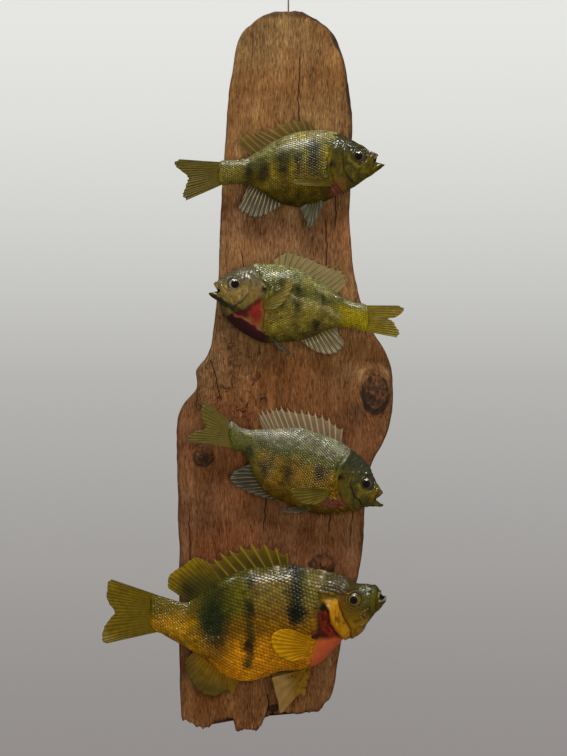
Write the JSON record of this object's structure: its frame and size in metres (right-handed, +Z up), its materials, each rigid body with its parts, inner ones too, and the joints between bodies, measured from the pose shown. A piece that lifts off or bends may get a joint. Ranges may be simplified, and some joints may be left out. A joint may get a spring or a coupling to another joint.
{
  "type": "trophy fish wall mount",
  "caption": "Mounted sunfish fixed one above another on a tall driftwood wall board, hung by a short wire from a screw eye behind its top.",
  "frame": {"origin": "middle of the board's flat back, which lies against the wall", "axes": "+Z up along the board, +Y into the wall, +X to the viewer's right when facing the fish"},
  "size_m": [0.2688, 0.0675, 0.6774],
  "materials": {
    "driftwood": "weathered matt, reddish brown with dark knots and a broken lower end",
    "body_skin": "varnished dried skin, olive green and gold with dark bars",
    "head_skin": "varnished dried skin, dark olive green",
    "gill_skin": "varnished dried skin, golden yellow",
    "fin_skin": "thin dried fin, varnished, olive yellow",
    "small_fish_skin": "varnished dried skin, grey green with gold flanks and dark bars",
    "eye_glass": "polished glass, dark pupil in a tan iris",
    "hanger_wire": "dull olive brown twisted wire"
  },
  "bodies": {
    "root": {"driftwood_board": "driftwood", "hanger_eye": "hanger_wire", "hanger_loop": "hanger_wire", "hanger_wire": "hanger_wire", "main_anal_fin": "fin_skin", "main_caudal_fin": "fin_skin", "main_dorsal_fin_soft": "fin_skin", "main_dorsal_fin_spiny": "fin_skin", "main_eye_left": "eye_glass", "main_eye_right": "eye_glass", "main_gill_cover_left": "gill_skin", "main_gill_cover_right": "gill_skin", "main_head": "head_skin", "main_lower_jaw": "head_skin", "main_pectoral_fin_left": "fin_skin", "main_pectoral_fin_right": "fin_skin", "main_pelvic_fin_left": "fin_skin", "main_pelvic_fin_right": "fin_skin", "main_tail_stem": "body_skin", "main_trunk": "body_skin", "second_fish": "small_fish_skin", "third_fish": "small_fish_skin", "top_fish": "small_fish_skin"}
  },
  "joints": []
}
